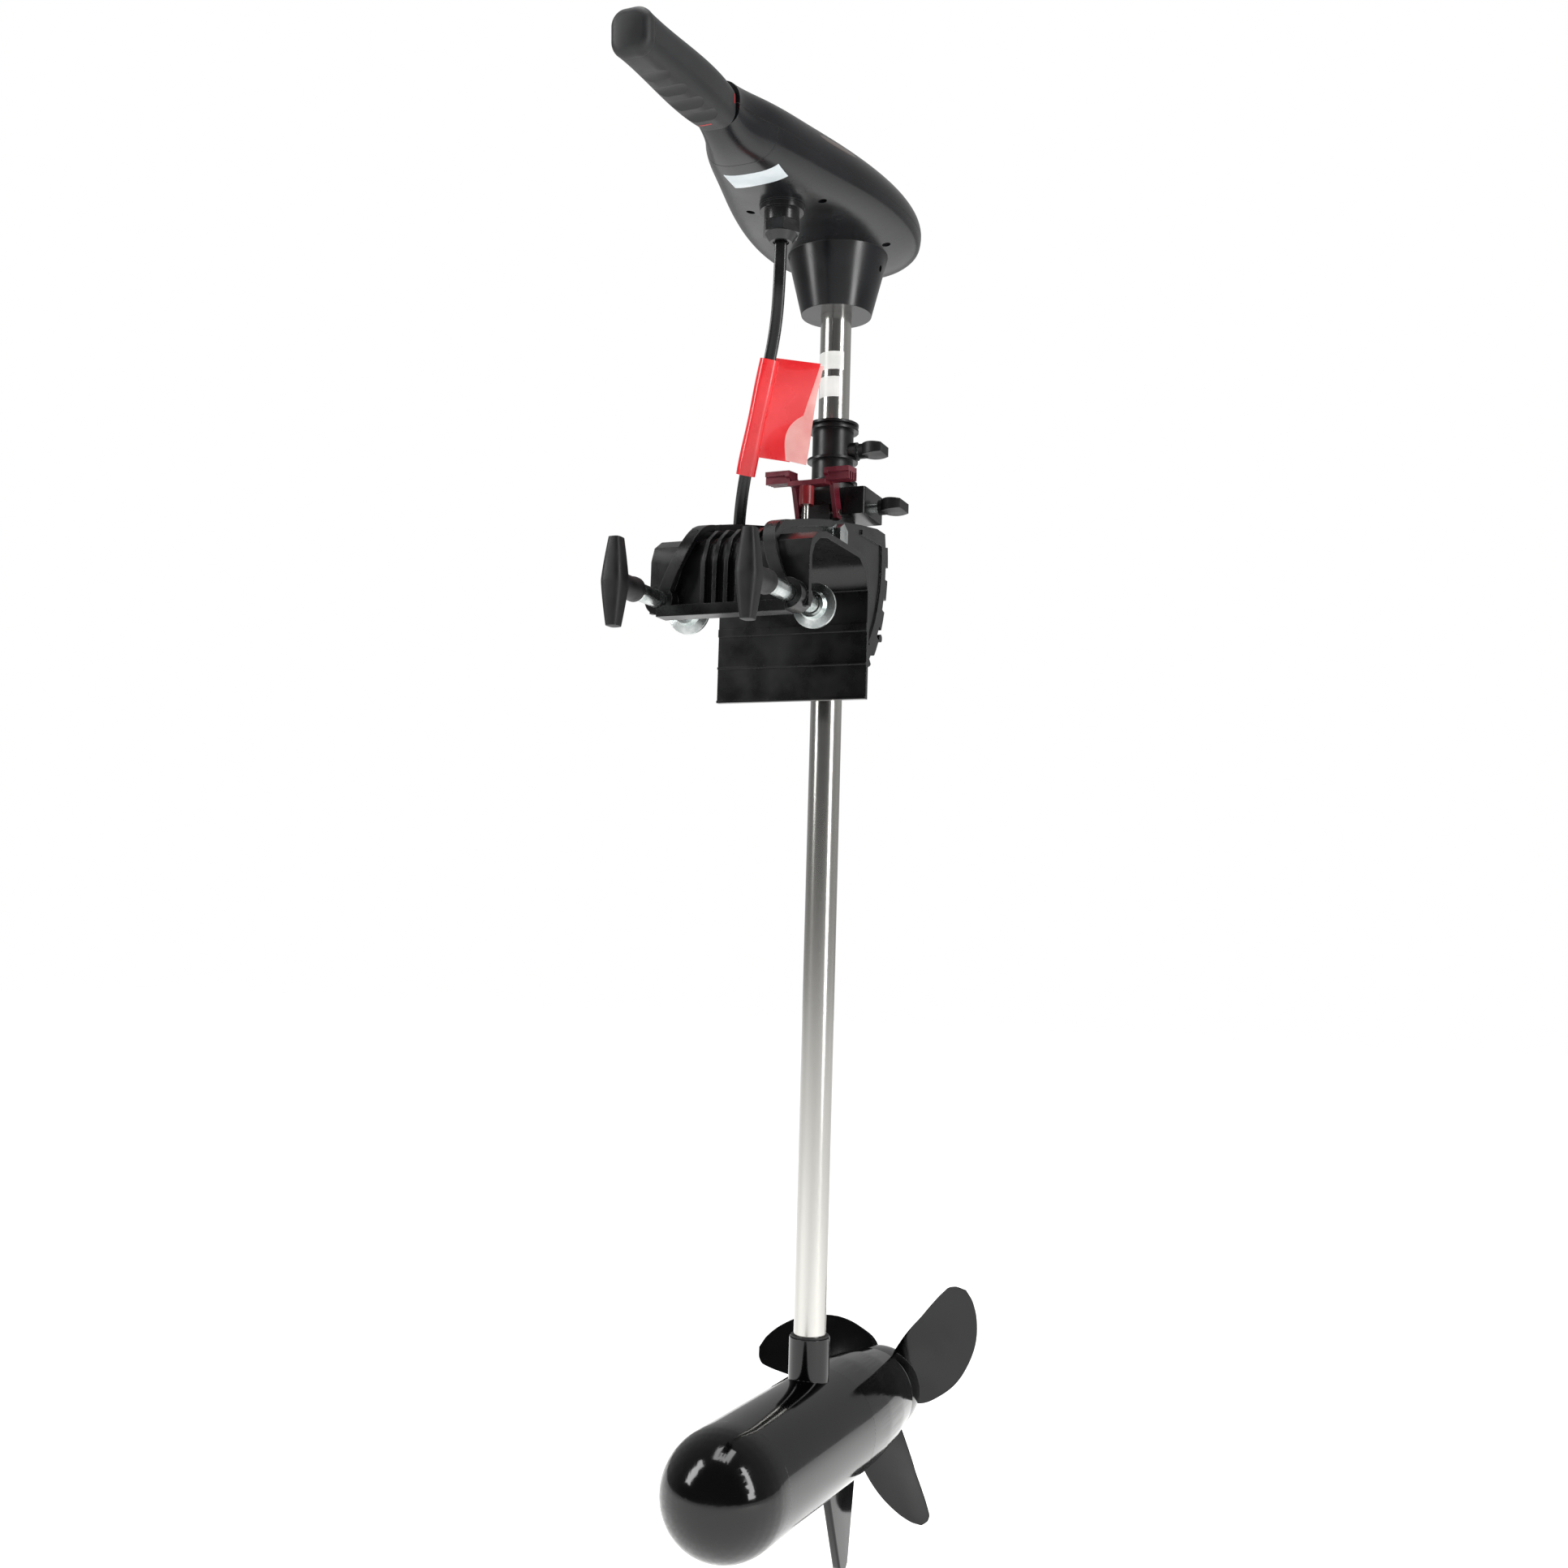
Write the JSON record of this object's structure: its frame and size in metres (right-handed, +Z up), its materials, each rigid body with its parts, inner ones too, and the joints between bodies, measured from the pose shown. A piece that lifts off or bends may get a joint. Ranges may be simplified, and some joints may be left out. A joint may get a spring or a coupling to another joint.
{
  "type": "transom-mount electric trolling motor",
  "caption": "Electric outboard for small boats: twist-grip head, stainless shaft, lever-tilt transom clamp, and a motor pod with a skeg and a three-bladed propeller.",
  "frame": {"origin": "middle of the clamp's transom bearing face, level with the two clamp screws", "axes": "+Z up along the shaft, -Y forward into the boat (tiller, clamp handles, motor nose), +X to the boat's right when facing aft"},
  "size_m": [0.1993, 0.5636, 1.1308],
  "materials": {
    "acetal": "black acetal",
    "black_knob": "fine-textured black plastic",
    "black_moulding": "semi-gloss glass-filled nylon",
    "black_paint": "high-gloss black paint on aluminium",
    "cable_rubber": "glossy black PVC jacket",
    "cap_red": "red plastic",
    "carbon": "carbon brush",
    "clip_steel": "plated steel battery clip",
    "copper": "bare copper",
    "grip_rubber": "matte charcoal rubber-like plastic",
    "head_plastic": "semi-gloss charcoal plastic",
    "lens_smoke": "smoked amber lens",
    "lever_red": "maroon plastic",
    "magnet": "grey ferrite",
    "nylon_tie": "black nylon tie",
    "prop_plastic": "glossy black glass-filled plastic",
    "seal_rubber": "black nitrile rubber",
    "stainless": "brushed stainless steel",
    "tag_film": "blank red film",
    "zinc_plate": "bright zinc plate"
  },
  "bodies": {
    "bracket": {"clamp_bracket": "black_moulding", "clamp_screw_inserts": "zinc_plate", "tilt_pivot_bolt": "zinc_plate", "tilt_pivot_nut_and_washers": "zinc_plate"},
    "pad_left": {"clamp_pad_left": "zinc_plate"},
    "screw_left": {"clamp_screw_left": "zinc_plate", "clamp_handle_left": "black_knob"},
    "pad_right": {"clamp_pad_right": "zinc_plate"},
    "screw_right": {"clamp_screw_right": "zinc_plate", "clamp_handle_right": "black_knob"},
    "tilt": {"tilt_block": "black_moulding", "shaft_bushes": "acetal", "lever_pivot_pin": "stainless"},
    "tension": {"tension_stud": "zinc_plate", "tension_knob": "black_knob"},
    "lock_lever": {"tilt_lock_lever": "lever_red"},
    "plunger": {"lock_plunger": "stainless", "plunger_cap": "cap_red"},
    "yoke": {"tilt_lock_yoke": "black_knob"},
    "depth": {"thrust_washer": "acetal", "battery_cable": "cable_rubber", "cable_coil": "cable_rubber", "cable_tie": "nylon_tie", "battery_clips": "clip_steel", "warning_tag": "tag_film"},
    "steer": {"shaft_tube": "stainless", "motor_wires": "cable_rubber", "depth_collar": "black_knob", "shaft_cross_bolt": "stainless", "motor_shell": "black_paint", "nose_cone": "black_paint", "nose_collar": "head_plastic", "rear_end_cap": "black_paint", "o_rings": "seal_rubber", "skeg": "black_paint", "magnets": "magnet", "brush_holder": "cable_rubber", "brushes": "carbon", "motor_bearings": "stainless", "shaft_seal": "seal_rubber", "head_lower_housing": "head_plastic", "head_top_cover": "head_plastic", "indicator_lens": "lens_smoke", "head_screws": "stainless", "cable_gland": "cable_rubber", "gland_nut": "cable_rubber", "gland_seal": "seal_rubber", "speed_switch": "cable_rubber"},
    "collar_clamp": {"collar_screw": "zinc_plate", "collar_knob": "black_knob"},
    "twist_grip": {"tiller_rod": "stainless", "tiller_grip": "grip_rubber", "grip_end_cap": "grip_rubber"},
    "prop": {"propeller": "prop_plastic", "prop_nut": "stainless", "prop_washer": "stainless", "shear_pin": "stainless", "motor_shaft": "stainless", "armature": "copper", "commutator": "copper"}
  },
  "joints": [
    {"name": "pad_left_slide", "type": "slide", "parent": "bracket", "child": "pad_left", "axis": [0, 1, 0], "range_m": [-0.0201, 0.0271]},
    {"name": "screw_left_turn", "type": "hinge", "parent": "pad_left", "child": "screw_left", "pos_m": [-0.05, -0.12, 0], "axis": [0, 1, 0], "range_deg": [-2400, 3240]},
    {"name": "pad_right_slide", "type": "slide", "parent": "bracket", "child": "pad_right", "axis": [0, 1, 0], "range_m": [-0.0201, 0.0271]},
    {"name": "screw_right_turn", "type": "hinge", "parent": "pad_right", "child": "screw_right", "pos_m": [0.05, -0.12, 0], "axis": [0, 1, 0], "range_deg": [-2400, 3240]},
    {"name": "tilt_hinge", "type": "hinge", "parent": "bracket", "child": "tilt", "pos_m": [0, 0.006, 0.071], "axis": [1, 0, 0], "range_deg": [0, 75]},
    {"name": "tension_turn", "type": "hinge", "parent": "tilt", "child": "tension", "pos_m": [0.042, 0.077, 0.11], "axis": [1, 0, 0], "range_deg": [0, 360]},
    {"name": "lock_lever_press", "type": "hinge", "parent": "tilt", "child": "lock_lever", "pos_m": [0, 0.049, 0.101], "axis": [1, 0, 0], "range_deg": [0, 15], "stiffness_Nm_per_rad": 1.5, "springref_deg": -17.19},
    {"name": "plunger_slide", "type": "slide", "parent": "tilt", "child": "plunger", "axis": [0, 0, -1], "range_m": [0, 0.0076]},
    {"name": "yoke_slide", "type": "slide", "parent": "tilt", "child": "yoke", "axis": [0, 0.8746, -0.4848], "range_m": [0, 0.0061]},
    {"name": "depth_slide", "type": "slide", "parent": "tilt", "child": "depth", "axis": [0, 0, 1], "range_m": [0, 0.4]},
    {"name": "steer_turn", "type": "hinge", "parent": "depth", "child": "steer", "pos_m": [0, 0.077, 0.13], "axis": [0, 0, 1], "range_deg": [-150, 150], "deforming": ["battery_cable", "warning_tag"]},
    {"name": "collar_clamp_turn", "type": "hinge", "parent": "steer", "child": "collar_clamp", "pos_m": [0.024, 0.077, 0.158], "axis": [1, 0, 0], "range_deg": [0, 360]},
    {"name": "twist_grip_turn", "type": "hinge", "parent": "steer", "child": "twist_grip", "pos_m": [0, -0.16, 0.341], "axis": [0, -0.9973, -0.0732], "range_deg": [-80, 110]},
    {"name": "prop_spin", "type": "hinge", "parent": "steer", "child": "prop", "pos_m": [0, 0.23, -0.626], "axis": [0, 1, 0], "continuous": true}
  ],
  "couplings": [
    {"joint": "pad_left_slide", "follows": "screw_left_turn", "m_per_rad": 0.00047746},
    {"joint": "pad_right_slide", "follows": "screw_right_turn", "m_per_rad": 0.00047746},
    {"joint": "plunger_slide", "follows": "lock_lever_press", "m_per_rad": 0.02865},
    {"joint": "yoke_slide", "follows": "lock_lever_press", "m_per_rad": 0.0229}
  ]
}
